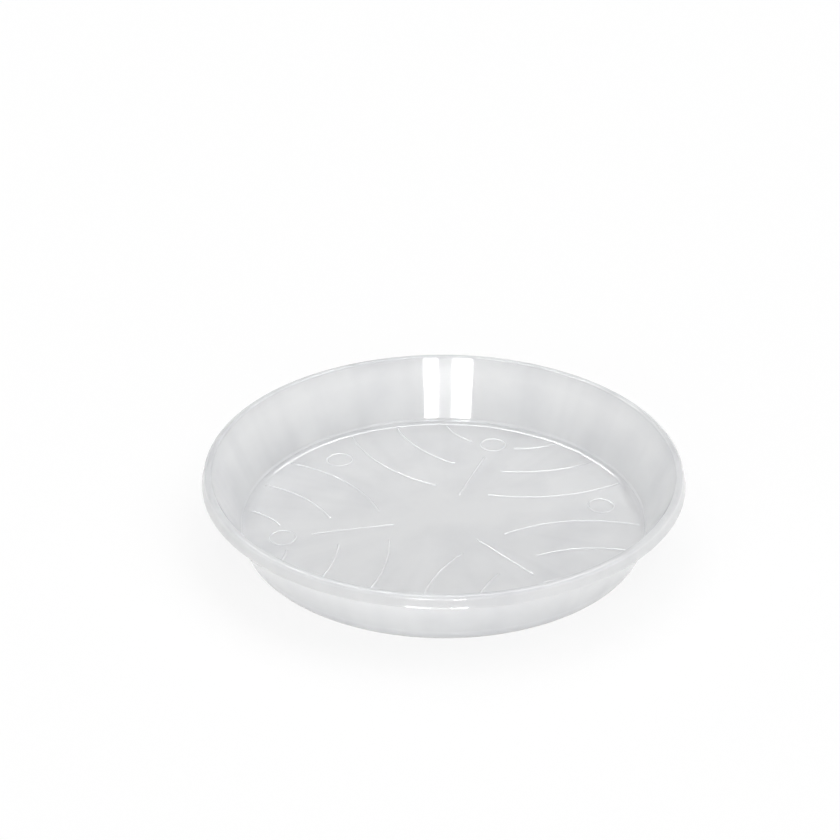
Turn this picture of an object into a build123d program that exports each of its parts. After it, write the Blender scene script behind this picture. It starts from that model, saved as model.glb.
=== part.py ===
from build123d import *
import math
import os

# A round plant saucer, moulded in one piece of milky clear plastic
# Millimetres, +Z up, origin at the middle of the foot, on the surface that it stands on
# Every node is a stretch of the one moulding, and neighbours meet face to face

# Overall sizes
rim_diameter = 250.0
saucer_height = 36.5

# Side wall, a plain cone, its width measured level
wall_width = 1.55
wall_spread = 17.15

# Turned-down rim: a flat lip, and a skirt that hangs from its outer edge
rim_width = 5.0
lip_thickness = 1.5
lip_outer_round = 1.1
lip_inner_round = 0.5
skirt_height = 6.0
skirt_width = 1.3
skirt_lean = 1.5

# Foot ring and floor, which rises a little towards its middle
foot_height = 1.6
foot_width = 1.2
floor_thickness = 1.4
floor_crown = 2.15
cove_radius = 2.5

# Raised ribs on the floor
rib_width = 1.4
rib_height = 0.8
rib_end_gap = 0.3

# Raised rings on the floor
ring_radius = 7.4
ring_width = 1.2
ring_height = 0.6

# The floor pattern repeats in equal sectors, each alike on both sides of its middle line
sector_count = 3
first_sector_angle = 11.45
ring_count = 6

# Curved ribs: where they start and end, and how far they bow towards the middle line
# Start radii are shares of the crowned floor's radius, and bows are shares of a rib's length
curved_rib_names = ("long_rib", "middle_rib", "short_rib")
rib_start_shares = (0.340, 0.575, 0.833)
rib_start_angles = (34.8, 47.0, 51.6)
rib_end_angles = (12.2, 27.05, 42.5)
rib_bow_shares = (0.106, 0.092, 0.085)

# Straight ribs between the sectors, and the rings, as shares of the same radius
radial_rib_start_share = 0.263
radial_rib_end_share = 0.672
ring_place_share = 0.825

# Radii and heights that follow from the sizes above
rim_radius = rim_diameter / 2
mouth_radius = rim_radius - rim_width
foot_radius = mouth_radius + wall_width - wall_spread
wall_slope = wall_spread / saucer_height
wall_angle = math.atan(wall_slope)
lip_base = saucer_height - lip_thickness
skirt_base = saucer_height - skirt_height
lip_radius = rim_radius - skirt_lean
skirt_slope = skirt_lean / skirt_height
floor_top = foot_height + floor_thickness
sector_angle = 360 / sector_count


def wall_outer(level):
    return foot_radius + level * wall_slope


def wall_inner(level):
    return wall_outer(level) - wall_width


def skirt_outer(level):
    return rim_radius - (level - skirt_base) * skirt_slope


# The cove is tangent to the floor's flat border and to the wall
cove_reach = cove_radius * math.tan((math.pi / 2 - wall_angle) / 2)
cove_start_radius = wall_inner(floor_top) - cove_reach
cove_end_level = floor_top + cove_reach * math.cos(wall_angle)
cove_centre_level = floor_top + cove_radius
cove_mid_angle = -math.pi / 2 + (math.pi / 2 - wall_angle) / 2
cove_mid = (
    cove_start_radius + cove_radius * math.cos(cove_mid_angle),
    cove_centre_level + cove_radius * math.sin(cove_mid_angle),
)

# The crown is a shallow dome that ends where the cove starts
crown_dome_radius = (cove_start_radius**2 + floor_crown**2) / (2 * floor_crown)


def crown_level(radius):
    drop = crown_dome_radius - math.sqrt(crown_dome_radius**2 - radius**2)
    return floor_crown - drop


def crown_arc(base_level):
    half_radius = cove_start_radius / 2
    ThreePointArc(
        (0, base_level + floor_crown),
        (half_radius, base_level + crown_level(half_radius)),
        (cove_start_radius, base_level),
    )


# Half section of the crowned layer between two levels, both given at the layer's edge
def crown_section(low_level, high_level):
    with BuildSketch(Plane.XZ) as section:
        with BuildLine():
            Line((0, low_level + floor_crown), (0, high_level + floor_crown))
            crown_arc(high_level)
            Line((cove_start_radius, high_level), (cove_start_radius, low_level))
            crown_arc(low_level)
        make_face()
    return section.sketch


def save(part, name):
    part.label = name
    export_step(part, f"parts/{name}.step")


os.makedirs("parts", exist_ok=True)

# Foot ring, which carries the saucer
with BuildPart() as foot_ring:
    with BuildSketch(Plane.XZ):
        with BuildLine():
            Polyline(
                (foot_radius - foot_width, 0),
                (foot_radius, 0),
                (wall_outer(foot_height), foot_height),
                (foot_radius - foot_width, foot_height),
                close=True,
            )
        make_face()
    revolve(axis=Axis.Z)
save(foot_ring.part, "foot_ring")

# Floor, crowned alike on both faces
with BuildPart() as floor_disc:
    revolve(crown_section(foot_height, floor_top), axis=Axis.Z)
save(floor_disc.part, "floor_disc")

# Border of the floor, with the cove that leads into the wall
with BuildPart() as floor_cove:
    with BuildSketch(Plane.XZ):
        with BuildLine():
            Line((cove_start_radius, foot_height), (cove_start_radius, floor_top))
            ThreePointArc(
                (cove_start_radius, floor_top),
                cove_mid,
                (wall_inner(cove_end_level), cove_end_level),
            )
            Line(
                (wall_inner(cove_end_level), cove_end_level),
                (wall_inner(foot_height), foot_height),
            )
            Line((wall_inner(foot_height), foot_height), (cove_start_radius, foot_height))
        make_face()
    revolve(axis=Axis.Z)
save(floor_cove.part, "floor_cove")

# Side wall, from the foot ring up to the lip
with BuildPart() as side_wall:
    with BuildSketch(Plane.XZ):
        with BuildLine():
            Polyline(
                (wall_inner(foot_height), foot_height),
                (wall_outer(foot_height), foot_height),
                (wall_outer(lip_base), lip_base),
                (wall_inner(lip_base), lip_base),
                close=True,
            )
        make_face()
    revolve(axis=Axis.Z)
save(side_wall.part, "side_wall")

# Rim lip, flat on top and rounded at both edges
with BuildPart() as rim_lip:
    with BuildSketch(Plane.XZ) as lip_section:
        with BuildLine():
            Polyline(
                (wall_inner(lip_base), lip_base),
                (skirt_outer(lip_base), lip_base),
                (lip_radius, saucer_height),
                (mouth_radius, saucer_height),
                close=True,
            )
        make_face()
        top_corners = lip_section.vertices().group_by(Axis.Y)[-1].sort_by(Axis.X)
        fillet(top_corners[-1], lip_outer_round)
        top_corners = lip_section.vertices().group_by(Axis.Y)[-1].sort_by(Axis.X)
        fillet(top_corners[0], lip_inner_round)
    revolve(axis=Axis.Z)
save(rim_lip.part, "rim_lip")

# Rim skirt, which hangs clear of the wall
with BuildPart() as rim_skirt:
    with BuildSketch(Plane.XZ):
        with BuildLine():
            Polyline(
                (skirt_outer(skirt_base) - skirt_width, skirt_base),
                (skirt_outer(skirt_base), skirt_base),
                (skirt_outer(lip_base), lip_base),
                (skirt_outer(lip_base) - skirt_width, lip_base),
                close=True,
            )
        make_face()
    revolve(axis=Axis.Z)
save(rim_skirt.part, "rim_skirt")


# What stands on the floor is cut from a crowned layer of its own height
def crown_layer(layer_height):
    with BuildPart() as layer:
        revolve(crown_section(floor_top, floor_top + layer_height), axis=Axis.Z)
    return layer.part


# One rib, from the plan of its centre line
def rib_on_floor(line_points, name):
    with BuildPart() as rib:
        with BuildSketch():
            with BuildLine(mode=Mode.PRIVATE) as centre_line:
                if len(line_points) == 2:
                    Line(*line_points)
                else:
                    ThreePointArc(*line_points)
            SlotArc(centre_line.edge(), rib_width)
        extrude(amount=saucer_height)
        add(rib_layer, mode=Mode.INTERSECT)
    save(rib.part, name)


def plan_point(radius, angle):
    return Vector(radius, 0).rotate(Axis.Z, angle)


rib_layer = crown_layer(rib_height)
rib_end_radius = cove_start_radius - rib_width / 2 - rib_end_gap

# Curved ribs, in mirrored pairs about each sector's middle line
for kind, rib_name in enumerate(curved_rib_names):
    start_radius = cove_start_radius * rib_start_shares[kind]
    for sector in range(sector_count):
        middle_line_angle = first_sector_angle + sector * sector_angle
        for side in (0, 1):
            mirror_sign = 1 - 2 * side
            start = plan_point(start_radius, middle_line_angle + mirror_sign * rib_start_angles[kind])
            end = plan_point(rib_end_radius, middle_line_angle + mirror_sign * rib_end_angles[kind])
            along = end - start
            bow = along.rotate(Axis.Z, -mirror_sign * 90) * rib_bow_shares[kind]
            crest = (start + end) / 2 + bow
            rib_on_floor((start, crest, end), f"{rib_name}_{2 * sector + side + 1}")

# Straight ribs, each midway between two sectors
for sector in range(sector_count):
    radial_angle = first_sector_angle + (sector + 0.5) * sector_angle
    radial_start = plan_point(cove_start_radius * radial_rib_start_share, radial_angle)
    radial_end = plan_point(cove_start_radius * radial_rib_end_share, radial_angle)
    rib_on_floor((radial_start, radial_end), f"radial_rib_{sector + 1}")

# Raised rings, evenly spaced round the floor
ring_layer = crown_layer(ring_height)
ring_place_radius = cove_start_radius * ring_place_share
for place in range(ring_count):
    ring_centre = plan_point(ring_place_radius, first_sector_angle + place * 360 / ring_count)
    with BuildPart() as raised_ring:
        with BuildSketch():
            with Locations(ring_centre):
                Circle(ring_radius)
                Circle(ring_radius - ring_width, mode=Mode.SUBTRACT)
        extrude(amount=saucer_height)
        add(ring_layer, mode=Mode.INTERSECT)
    save(raised_ring.part, f"raised_ring_{place + 1}")
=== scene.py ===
import math

import bmesh
import bpy
from mathutils import Matrix, Vector


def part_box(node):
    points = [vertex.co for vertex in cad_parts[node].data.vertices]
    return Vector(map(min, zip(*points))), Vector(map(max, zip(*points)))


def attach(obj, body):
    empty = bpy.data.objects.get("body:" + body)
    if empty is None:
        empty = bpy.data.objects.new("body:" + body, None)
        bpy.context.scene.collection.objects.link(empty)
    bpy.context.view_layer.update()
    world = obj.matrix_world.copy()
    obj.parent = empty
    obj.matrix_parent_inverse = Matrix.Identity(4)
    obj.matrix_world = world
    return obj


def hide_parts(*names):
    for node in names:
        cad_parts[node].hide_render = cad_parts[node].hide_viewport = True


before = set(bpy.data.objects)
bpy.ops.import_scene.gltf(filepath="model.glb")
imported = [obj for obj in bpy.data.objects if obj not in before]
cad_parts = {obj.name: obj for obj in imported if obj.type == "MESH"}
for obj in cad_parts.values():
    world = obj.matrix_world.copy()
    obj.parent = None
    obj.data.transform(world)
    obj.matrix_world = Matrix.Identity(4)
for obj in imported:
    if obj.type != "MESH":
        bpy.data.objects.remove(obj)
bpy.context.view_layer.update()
mm = 0.001
up = Vector((0, 0, 1))
# points nearer than this are one point, and one so near to a line is on it
mergeDistance = 0.002 * mm
lineDistance = 0.01 * mm
print("frame loaded:", len(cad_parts), "nodes")


# moulded body: one section, spun round the upright axis
# heights and radii come from the frame, the rest are the moulding's own small sizes
body = dict(
    rimRadius=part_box("rim_skirt")[1][0],
    top=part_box("rim_lip")[1][2],
    lipBase=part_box("rim_lip")[0][2],
    skirtBase=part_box("rim_skirt")[0][2],
    floorBase=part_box("floor_disc")[0][2],
    crownRadius=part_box("floor_disc")[1][0],
    crown=2.15 * mm,
    floorThickness=1.4 * mm,
    rimWidth=5 * mm,
    wallWidth=1.55 * mm,
    wallSpread=17.15 * mm,
    footWidth=1.2 * mm,
    skirtWidth=1.3 * mm,
    skirtLean=1.5 * mm,
    hemHeight=0.8 * mm,
    hemDepth=0.12 * mm,
    coveRadius=2.5 * mm,
    creaseLevel=4.95 * mm,
    creaseAbove=1.0 * mm,
    creaseBelow=0.45 * mm,
    creaseHeight=0.5 * mm,
    creaseSteps=13,
    underBorder=1 * mm,
    holdWidth=0.25 * mm,
    crownSteps=24,
    turnSteps=360,
    sharpAngle=math.radians(38),
    # how far from its corner each round starts, and its segments
    rounds=dict(
        mouth=(0.6 * mm, 5),
        lip=(1.4 * mm, 8),
        hem=(0.3 * mm, 4),
        skirtTip=(0.25 * mm, 3),
        skirtHeel=(0.45 * mm, 4),
        underLipOuter=(0.9 * mm, 5),
        underLipInner=(0.3 * mm, 3),
        footOuter=(0.8 * mm, 6),
        footInner=(0.5 * mm, 4),
        footRoot=(0.4 * mm, 3),
    ),
    coveSegments=14,
)
mouthRadius = body["rimRadius"] - body["rimWidth"]
footRadius = mouthRadius + body["wallWidth"] - body["wallSpread"]
floorTop = body["floorBase"] + body["floorThickness"]
wallSlope = body["wallSpread"] / body["top"]
skirtSlope = body["skirtLean"] / (body["top"] - body["skirtBase"])
domeRadius = (body["crownRadius"] ** 2 + body["crown"] ** 2) / (2 * body["crown"])


def wallOuter(level):
    return footRadius + level * wallSlope


def wallInner(level):
    return wallOuter(level) - body["wallWidth"]


def skirtOuter(level):
    return body["rimRadius"] - (level - body["skirtBase"]) * skirtSlope


def crownLift(radius):
    inside = min(radius, body["crownRadius"])
    return body["crown"] - domeRadius + math.sqrt(domeRadius ** 2 - inside ** 2)


def roundCorner(bm, place, reach, segments):
    # the section's vertex nearest to place gets a round that starts reach away from it
    corner = min(bm.verts, key=lambda v: (v.co - Vector(place)).length)
    bmesh.ops.bevel(bm, geom=[corner], offset=reach, offset_type="OFFSET", segments=segments,
                    profile=0.5, affect="VERTICES", material=-1)


def sectionPoint(radius, level):
    return (radius, 0, level)


def raiseCrease(bm):
    # fine rounded ledge on the inner wall, a little above the cove
    crest, above, below = body["creaseLevel"], body["creaseAbove"], body["creaseBelow"]
    low, high = crest - below, crest + above
    for step in range(body["creaseSteps"] + 1):
        level = low + step * (high - low) / body["creaseSteps"]
        bmesh.ops.bisect_plane(bm, geom=bm.verts[:] + bm.edges[:], dist=0.0001 * mm,
                               plane_co=(0, 0, level), plane_no=up)
    # only then is the wall between the cuts moved, in a smooth swell
    for v in bm.verts:
        level = v.co.z
        if low <= level <= high and abs(v.co.x - wallInner(level)) < lineDistance:
            share = (level - crest) / (above if level > crest else below)
            v.co.x -= body["creaseHeight"] * math.cos(share * math.pi / 2)


def holdFlats(bm):
    # each flat gets a narrow strip beside its rounds, so that its shading stays true
    hold = body["holdWidth"]
    floorReach = body["crownRadius"] + hold
    flats = [
        e for e in bm.edges
        if e.calc_length() > 3 * hold and max(v.co.x for v in e.verts) > floorReach
    ]
    for edge in flats:
        start, end = edge.verts
        near = bmesh.utils.edge_split(edge, start, hold / edge.calc_length())[1]
        rest = next(e for e in near.link_edges if end in e.verts)
        bmesh.utils.edge_split(rest, end, hold / rest.calc_length())


def makeBody():
    bm = bmesh.new()
    edgeRadius = body["crownRadius"]
    skirtInner = skirtOuter(body["lipBase"]) - body["skirtWidth"]
    # the skirt's outer face turns out a little more at its hem
    hemLevel = body["skirtBase"] + body["hemHeight"]
    # the half section's corners, from the middle of the floor over the rim and back underneath
    corners = dict(
        crownTop=(0, floorTop + body["crown"]),
        crownEdge=(edgeRadius, floorTop),
        cove=(wallInner(floorTop), floorTop),
        mouth=(mouthRadius, body["top"]),
        lip=(skirtOuter(body["top"]), body["top"]),
        hem=(skirtOuter(hemLevel) - body["hemDepth"], hemLevel),
        skirtTip=(body["rimRadius"], body["skirtBase"]),
        skirtHeel=(body["rimRadius"] - body["skirtWidth"], body["skirtBase"]),
        underLipOuter=(skirtInner, body["lipBase"]),
        underLipInner=(wallOuter(body["lipBase"]), body["lipBase"]),
        footOuter=(footRadius, 0),
        footInner=(footRadius - body["footWidth"], 0),
        footRoot=(footRadius - body["footWidth"], body["floorBase"]),
        underEdge=(edgeRadius - body["underBorder"], body["floorBase"]),
        underTop=(0, body["floorBase"] + body["crown"]),
    )
    verts = [bm.verts.new(sectionPoint(*corner)) for corner in corners.values()]
    bm.faces.new(verts)
    # the two crowned edges, which start at the middle, are cut up, then lifted onto the dome
    crowned = [
        e for e in bm.edges
        if min(v.co.x for v in e.verts) < mm and abs(e.verts[0].co.x - e.verts[1].co.x) > mm
    ]
    for edge in crowned:
        base = min(v.co.z for v in edge.verts)
        cut = bmesh.ops.subdivide_edges(bm, edges=[edge], cuts=body["crownSteps"] - 1)
        for part in cut["geom_inner"]:
            if isinstance(part, bmesh.types.BMVert):
                part.co.z = base + crownLift(part.co.x)
    coveTurn = math.pi / 2 - math.atan(wallSlope)
    coveReach = body["coveRadius"] * math.tan(coveTurn / 2)
    # the cove stops just short of the crown's edge, so that the two don't merge
    roundCorner(bm, sectionPoint(*corners["cove"]), coveReach * 0.999, body["coveSegments"])
    for name, (reach, segments) in body["rounds"].items():
        roundCorner(bm, sectionPoint(*corners[name]), reach, segments)
    # the face and the edge on the axis go, and the open line is spun
    bmesh.ops.delete(bm, geom=list(bm.faces), context="FACES_ONLY")
    axisEdge = [e for e in bm.edges if all(v.co.x < lineDistance for v in e.verts)]
    bmesh.ops.delete(bm, geom=axisEdge, context="EDGES")
    raiseCrease(bm)
    holdFlats(bm)
    bmesh.ops.spin(bm, geom=bm.verts[:] + bm.edges[:], cent=(0, 0, 0), axis=up, dvec=(0, 0, 0),
                   angle=math.tau, steps=body["turnSteps"], use_merge=True)
    bmesh.ops.remove_doubles(bm, verts=bm.verts, dist=mergeDistance)
    bmesh.ops.recalc_face_normals(bm, faces=bm.faces)
    return bm


# floor pattern: angles from each sector's middle line, radii as shares of the crowned floor
pattern = dict(
    sectors=3,
    firstAngle=11.45,
    curvedRibs=(
        dict(startShare=0.340, startAngle=34.8, endAngle=12.2, bowShare=0.106),
        dict(startShare=0.575, startAngle=47.0, endAngle=27.05, bowShare=0.092),
        dict(startShare=0.833, startAngle=51.6, endAngle=42.5, bowShare=0.085),
    ),
    radialShares=(0.263, 0.672),
    ribWidth=1.4 * mm,
    ribHeight=0.5 * mm,
    ribEndGap=0.3 * mm,
    slant=0.6,
    ribSegments=32,
    endRings=8,
    ribStep=2.5 * mm,
    rings=6,
    ringShare=0.825,
    ringRadius=7.4 * mm,
    ringWidth=1.2 * mm,
    ringHeight=0.4 * mm,
    ringSteps=64,
)


def planPoint(radius, angle):
    turn = math.radians(angle)
    return Vector((radius * math.cos(turn), radius * math.sin(turn), floorTop))


def sectionMatrix(place, tangent, size):
    # local Z runs along the rib, local X across it and local Y upwards
    halfWidth, halfHeight, sink = size
    across = tangent.cross(up)
    turn = Matrix((across, up, tangent)).transposed().to_4x4()
    scale = Matrix.Diagonal((halfWidth, halfHeight, halfWidth, 1))
    return Matrix.Translation(place - up * sink) @ turn @ scale


def sunkSection(width, height, slant):
    # half width, half height and sink of an ellipse that shows width and height above the floor,
    # where slant is the share of its half height that lies under the floor
    halfHeight = height / (1 - slant)
    return width / 2 / math.sqrt(1 - slant ** 2), halfHeight, halfHeight * slant


def addRibEnd(bm, place, outward, size):
    # half of a rounded blob, whose open ring matches the rib's section
    blob = bmesh.ops.create_uvsphere(bm, u_segments=pattern["ribSegments"],
                                     v_segments=pattern["endRings"], radius=1,
                                     matrix=sectionMatrix(place, outward, size))
    behind = [v for v in blob["verts"] if (v.co - place).dot(outward) < -0.001 * mm]
    bmesh.ops.delete(bm, geom=behind, context="VERTS")


def addSectionRing(bm, place, tangent, size):
    ring = bmesh.ops.create_circle(bm, cap_ends=False, radius=1, segments=pattern["ribSegments"],
                                   matrix=sectionMatrix(place, tangent, size))
    return ring["verts"] + list(dict.fromkeys(e for v in ring["verts"] for e in v.link_edges))


def addRib(bm, start, end, bow, side):
    size = sunkSection(pattern["ribWidth"], pattern["ribHeight"], pattern["slant"])
    chord = end - start
    length = chord.length
    along = chord.normalized()
    # side is +1 where the rib bows to the right of its own direction
    across = along.cross(up) * side
    steps = max(2, round(length / pattern["ribStep"]))
    if bow:
        radius = (length ** 2 / 4 + bow ** 2) / (2 * bow)
        centre = (start + end) / 2 - across * (radius - bow)
        sweep = 2 * math.asin(length / 2 / radius)
        startAlong = Matrix.Rotation(-side * sweep / 2, 3, up) @ along
        endAlong = Matrix.Rotation(side * sweep / 2, 3, up) @ along
    else:
        startAlong = endAlong = along
    ring = addSectionRing(bm, start, startAlong, size)
    if bow:
        bmesh.ops.spin(bm, geom=ring, cent=centre, axis=up, dvec=(0, 0, 0),
                       angle=side * sweep, steps=steps, use_merge=False)
    else:
        bmesh.ops.spin(bm, geom=ring, cent=(0, 0, 0), axis=up, dvec=chord / steps,
                       angle=0, steps=steps, use_merge=False)
    addRibEnd(bm, start, -startAlong, size)
    addRibEnd(bm, end, endAlong, size)


def addRing(bm, centre):
    size = sunkSection(pattern["ringWidth"], pattern["ringHeight"], pattern["slant"])
    place = centre + Vector((pattern["ringRadius"] - pattern["ringWidth"] / 2, 0, 0))
    ring = addSectionRing(bm, place, Vector((0, 1, 0)), size)
    bmesh.ops.spin(bm, geom=ring, cent=centre, axis=up, dvec=(0, 0, 0),
                   angle=math.tau, steps=pattern["ringSteps"], use_merge=True)


def makePattern():
    bm = bmesh.new()
    floorRadius = body["crownRadius"]
    endRadius = floorRadius - pattern["ribWidth"] / 2 - pattern["ribEndGap"]
    sectorAngle = 360 / pattern["sectors"]
    for sector in range(pattern["sectors"]):
        middle = pattern["firstAngle"] + sector * sectorAngle
        for rib in pattern["curvedRibs"]:
            for side in (1, -1):
                startRadius = floorRadius * rib["startShare"]
                start = planPoint(startRadius, middle + side * rib["startAngle"])
                end = planPoint(endRadius, middle + side * rib["endAngle"])
                addRib(bm, start, end, (end - start).length * rib["bowShare"], side)
        between = middle + sectorAngle / 2
        start, end = [planPoint(floorRadius * share, between) for share in pattern["radialShares"]]
        addRib(bm, start, end, 0, 1)
    for place in range(pattern["rings"]):
        angle = pattern["firstAngle"] + place * 360 / pattern["rings"]
        addRing(bm, planPoint(floorRadius * pattern["ringShare"], angle))
    bmesh.ops.remove_doubles(bm, verts=bm.verts, dist=mergeDistance)
    # the flat pattern is lifted onto the crowned floor
    for v in bm.verts:
        v.co.z += crownLift(v.co.xy.length)
    bmesh.ops.recalc_face_normals(bm, faces=bm.faces)
    return bm


def meshObject(name, bm):
    mesh = bpy.data.meshes.new(name)
    bm.to_mesh(mesh)
    bm.free()
    obj = bpy.data.objects.new(name, mesh)
    bpy.context.collection.objects.link(obj)
    return obj


def makeSaucer():
    saucer = meshObject("plantSaucer", makeBody())
    ribs = meshObject("floorPattern", makePattern())
    union = saucer.modifiers.new("patternOnFloor", "BOOLEAN")
    union.operation = "UNION"
    union.solver = "EXACT"
    union.object = ribs
    depsgraph = bpy.context.evaluated_depsgraph_get()
    joined = bpy.data.meshes.new_from_object(saucer.evaluated_get(depsgraph))
    saucer.modifiers.clear()
    saucer.data = joined
    bpy.data.objects.remove(ribs)
    # smooth faces, with the true edges kept sharp
    bm = bmesh.new()
    bm.from_mesh(joined)
    for face in bm.faces:
        face.smooth = True
    for edge in bm.edges:
        shallow = edge.calc_face_angle(0) < body["sharpAngle"]
        edge.smooth = len(edge.link_faces) == 2 and shallow
    bm.to_mesh(joined)
    bm.free()
    return saucer


saucer = makeSaucer()
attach(saucer, "root")
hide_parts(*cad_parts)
print("saucer modelled:", len(saucer.data.polygons), "faces")


# milky plastic: light soaks in and comes out near by, under a smooth moulded skin
plastic = dict(
    # heights with their colours, which paint light and shade: a painted highlight pales the foot,
    # painted shade darkens the wall's low part, painted light pales its upper part, and the lip's
    # top is darker to paint out the light it catches
    colourAndPaintedLightByLevel=(
        # painted highlight along the foot
        (0.0 * mm, (0.96, 0.96, 0.96, 1)),
        (1.0 * mm, (0.94, 0.94, 0.945, 1)),
        (2.2 * mm, (0.775, 0.785, 0.80, 1)),
        (5.15 * mm, (0.775, 0.785, 0.80, 1)),
        # painted shade low on the wall, then painted light towards the rim
        (6.1 * mm, (0.735, 0.745, 0.755, 1)),
        (14 * mm, (0.765, 0.775, 0.785, 1)),
        (28 * mm, (0.885, 0.895, 0.905, 1)),
        (35.4 * mm, (0.85, 0.86, 0.87, 1)),
        # painted shade on the lip's top
        (36.3 * mm, (0.64, 0.65, 0.66, 1)),
    ),
    # clouds and streaks are noise between two levels, and the streaks fade towards the middle
    noiseRange=(0.45, 0.72),
    cloudColour=(0.90, 0.90, 0.91, 1),
    cloudSize=45 * mm,
    cloudDetail=3,
    streakColour=(0.94, 0.94, 0.945, 1),
    streakScale=5,
    streakDetail=2,
    streakFade=(25 * mm, 75 * mm),
    # the rim is duller than the floor
    glossLevels=(28 * mm, 33 * mm),
    floorGloss=0.5,
    rimGloss=0.24,
    roughness=0.06,
    ior=1.49,
    scatterDepth=5 * mm,
    transmission=0.1,
)


def mapRange(nodes, links, source, start, end, low=0, high=1):
    # low up to start, high from end on, and even between them
    ramp = nodes.new("ShaderNodeMapRange")
    ramp.inputs["From Min"].default_value = start
    ramp.inputs["From Max"].default_value = end
    ramp.inputs["To Min"].default_value = low
    ramp.inputs["To Max"].default_value = high
    links.new(source, ramp.inputs["Value"])
    return ramp.outputs["Result"]


def addNoise(nodes, links, vector, scale, detail):
    noise = nodes.new("ShaderNodeTexNoise")
    noise.inputs["Scale"].default_value = scale
    noise.inputs["Detail"].default_value = detail
    links.new(vector, noise.inputs["Vector"])
    return mapRange(nodes, links, noise.outputs["Fac"], *plastic["noiseRange"])


def tintWhere(nodes, links, base, mask, colour):
    # base, multiplied by colour as far as the mask says
    mix = nodes.new("ShaderNodeMix")
    mix.data_type = "RGBA"
    mix.blend_type = "MULTIPLY"
    mix.inputs["B"].default_value = colour
    links.new(mask, mix.inputs["Factor"])
    links.new(base, mix.inputs["A"])
    return mix.outputs["Result"]


def makePlastic():
    mat = bpy.data.materials.new("milkyPlastic")
    mat.use_nodes = True
    nodes, links = mat.node_tree.nodes, mat.node_tree.links
    shader = nodes["Principled BSDF"]
    shader.inputs["IOR"].default_value = plastic["ior"]
    shader.inputs["Roughness"].default_value = plastic["roughness"]
    shader.inputs["Subsurface Weight"].default_value = 1
    shader.inputs["Subsurface Radius"].default_value = (1, 1, 1)
    shader.inputs["Subsurface Scale"].default_value = plastic["scatterDepth"]
    shader.inputs["Transmission Weight"].default_value = plastic["transmission"]
    coords = nodes.new("ShaderNodeTexCoord")
    split = nodes.new("ShaderNodeSeparateXYZ")
    links.new(coords.outputs["Object"], split.inputs[0])
    # colour by height, with painted light and shade: a pale foot, a shaded low wall, a lit upper
    # wall and a darkened lip top
    height = mapRange(nodes, links, split.outputs["Z"], 0, body["top"])
    ramp = nodes.new("ShaderNodeValToRGB")
    stops = ramp.color_ramp.elements
    while len(stops) < len(plastic["colourAndPaintedLightByLevel"]):
        stops.new(1)
    for stop, (level, colour) in zip(stops, plastic["colourAndPaintedLightByLevel"]):
        stop.position = level / body["top"]
        stop.color = colour
    links.new(height, ramp.inputs["Fac"])
    # faint clouds, left by the flow of the plastic in the mould
    cloudScale = 1 / plastic["cloudSize"]
    clouds = addNoise(nodes, links, coords.outputs["Object"], cloudScale, plastic["cloudDetail"])
    cloudy = tintWhere(nodes, links, ramp.outputs["Color"], clouds, plastic["cloudColour"])
    # and soft streaks that run outwards: noise on the plan's direction alone
    plan = nodes.new("ShaderNodeCombineXYZ")
    links.new(split.outputs["X"], plan.inputs["X"])
    links.new(split.outputs["Y"], plan.inputs["Y"])
    outward = nodes.new("ShaderNodeVectorMath")
    outward.operation = "NORMALIZE"
    links.new(plan.outputs[0], outward.inputs[0])
    reach = nodes.new("ShaderNodeVectorMath")
    reach.operation = "LENGTH"
    links.new(plan.outputs[0], reach.inputs[0])
    streaks = nodes.new("ShaderNodeMath")
    streaks.operation = "MULTIPLY"
    flow = addNoise(nodes, links, outward.outputs["Vector"], plastic["streakScale"],
                    plastic["streakDetail"])
    fade = mapRange(nodes, links, reach.outputs["Value"], *plastic["streakFade"])
    links.new(flow, streaks.inputs[0])
    links.new(fade, streaks.inputs[1])
    tinted = tintWhere(nodes, links, cloudy, streaks.outputs[0], plastic["streakColour"])
    links.new(tinted, shader.inputs["Base Color"])
    # gloss falls towards the rim
    gloss = mapRange(nodes, links, split.outputs["Z"], *plastic["glossLevels"],
                     plastic["floorGloss"], plastic["rimGloss"])
    links.new(gloss, shader.inputs["Specular IOR Level"])
    return mat


saucer.data.materials.clear()
saucer.data.materials.append(makePlastic())
print("plastic made")


# studio: a white sweep in a white room, broad soft lights high all round and low in front, and
# panels that only reflections show: one high up behind, and upright strips beside the camera
# a panel's brightness is what its face shows, with the white room as 1
studio = dict(
    floorSize=6.0,
    # the sweep's own colour, and the share of plain white in what the camera sees of it
    floorColour=(0.9, 0.9, 0.9, 1),
    floorGlow=0.84,
    highSpread=50,
    lowSpread=35,
    # azimuth from the right over the back, elevation, and strength
    highLights=((0, 55, 1.28), (90, 55, 1.33), (180, 55, 0.69), (270, 55, 0.24)),
    lowLights=((225, 18, 0.53), (270, 18, 0.74), (315, 18, 0.36)),
    panel=dict(
        place=(-0.1, 1.06, 1.85),
        target=(-0.1, 0.63, 0),
        width=2.2,
        height=1.32,
        brightness=11.46,
    ),
    stripDistance=2.0,
    stripTop=0.95,
    # start, end and brightness, with angles from the camera's side towards the right
    strips=dict(
        leftStrip=(-14.8, -4.4, 38.2),
        middleStrip=(-4.4, 3.2, 3.183),
        rightStrip=(3.2, 10.4, 38.2),
    ),
)


def seesStage(nodes, links):
    # 1 where the camera, a reflection or clear plastic looks at the stage
    path = nodes.new("ShaderNodeLightPath")
    total = path.outputs["Is Camera Ray"]
    for name in ("Is Glossy Ray", "Is Transmission Ray"):
        join = nodes.new("ShaderNodeMath")
        join.operation = "MAXIMUM"
        links.new(total, join.inputs[0])
        links.new(path.outputs[name], join.inputs[1])
        total = join.outputs[0]
    return total


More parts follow.
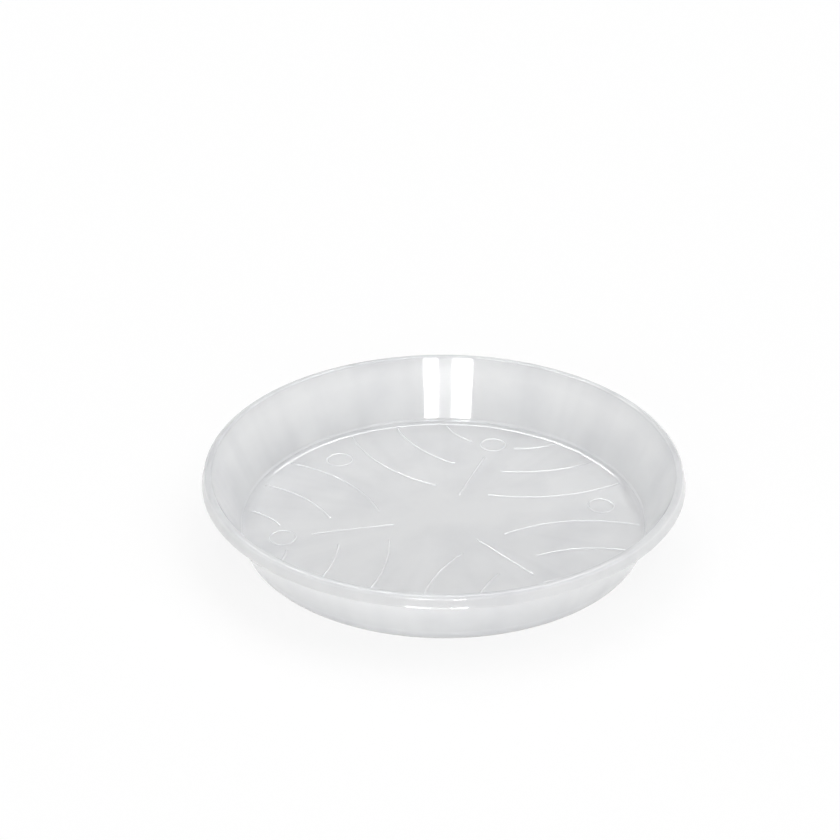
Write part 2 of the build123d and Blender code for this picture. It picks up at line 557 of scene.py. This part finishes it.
def makeFloor():
    bm = bmesh.new()
    bmesh.ops.create_grid(bm, x_segments=1, y_segments=1, size=studio["floorSize"] / 2)
    floor = meshObject("studioFloor", bm)
    mat = bpy.data.materials.new("whiteSweep")
    mat.use_nodes = True
    nodes, links = mat.node_tree.nodes, mat.node_tree.links
    nodes.clear()
    out = nodes.new("ShaderNodeOutputMaterial")
    plain = nodes.new("ShaderNodeBsdfDiffuse")
    plain.inputs["Color"].default_value = studio["floorColour"]
    glow = nodes.new("ShaderNodeEmission")
    share = nodes.new("ShaderNodeMath")
    share.operation = "MULTIPLY"
    share.inputs[1].default_value = studio["floorGlow"]
    mix = nodes.new("ShaderNodeMixShader")
    links.new(seesStage(nodes, links), share.inputs[0])
    links.new(share.outputs[0], mix.inputs["Fac"])
    links.new(plain.outputs[0], mix.inputs[1])
    links.new(glow.outputs[0], mix.inputs[2])
    links.new(mix.outputs[0], out.inputs["Surface"])
    floor.data.materials.append(mat)
    return floor


def makeRoom():
    world = bpy.data.worlds.new("whiteRoom")
    bpy.context.scene.world = world
    world.use_nodes = True
    nodes, links = world.node_tree.nodes, world.node_tree.links
    room = nodes["Background"]
    room.inputs["Color"].default_value = (1, 1, 1, 1)
    links.new(seesStage(nodes, links), room.inputs["Strength"])


def addLamp(name, kind, place, target):
    light = bpy.data.lights.new(name, kind)
    lamp = bpy.data.objects.new(name, light)
    lamp.location = place
    lamp.rotation_euler = (Vector(target) - lamp.location).to_track_quat("-Z", "Y").to_euler()
    bpy.context.collection.objects.link(lamp)
    return lamp


def addBroadLight(name, azimuth, elevation, strength, spread):
    # it lights the object evenly, and leaves no spot in its reflections
    across, rise = math.radians(azimuth), math.radians(elevation)
    place = (math.cos(rise) * math.cos(across), math.cos(rise) * math.sin(across), math.sin(rise))
    lamp = addLamp(name, "SUN", place, (0, 0, 0))
    lamp.data.energy = strength
    lamp.data.angle = math.radians(spread)
    lamp.visible_glossy = False
    lamp.visible_transmission = False


def addPanel(name, place, target, width, height, brightness):
    # it shows in reflections alone
    lamp = addLamp(name, "AREA", place, target)
    lamp.data.shape = "RECTANGLE"
    lamp.data.size = width
    lamp.data.size_y = height
    # pi watts a square metre make the face as bright as the room
    lamp.data.energy = math.pi * brightness * width * height
    lamp.visible_diffuse = False
    lamp.visible_transmission = False


def makeLights():
    for kind in ("high", "low"):
        for number, (azimuth, elevation, strength) in enumerate(studio[kind + "Lights"]):
            name = kind + "Light" + str(number)
            addBroadLight(name, azimuth, elevation, strength, studio[kind + "Spread"])
    addPanel("rearPanel", **studio["panel"])
    far, top = studio["stripDistance"], studio["stripTop"]
    for name, (low, high, brightness) in studio["strips"].items():
        middle = math.radians((low + high) / 2)
        width = 2 * far * math.tan(math.radians(high - low) / 2)
        place = (far * math.sin(middle), -far * math.cos(middle), top / 2)
        addPanel(name, place, (0, 0, top / 2), width, top, brightness)


floor = makeFloor()
makeRoom()
makeLights()
print("studio set")


# camera: as far away and as high as the photograph's perspective says
lens = dict(
    distance=1.5775,
    elevation=31.594,
    pitch=29.554,
    yaw=0.519,
    focal=129.33,
    sensor=36,
    farthest=20,
)


def makeCamera():
    camera = bpy.data.cameras.new("photoCamera")
    camera.lens = lens["focal"]
    camera.sensor_width = lens["sensor"]
    camera.sensor_fit = "HORIZONTAL"
    camera.clip_end = lens["farthest"]
    obj = bpy.data.objects.new("photoCamera", camera)
    rise = math.radians(lens["elevation"])
    obj.location = (0, -lens["distance"] * math.cos(rise), lens["distance"] * math.sin(rise))
    obj.rotation_euler = (math.radians(90 - lens["pitch"]), 0, math.radians(lens["yaw"]))
    bpy.context.collection.objects.link(obj)
    bpy.context.scene.camera = obj


makeCamera()
bpy.context.scene.view_settings.view_transform = "Standard"
print("camera placed")
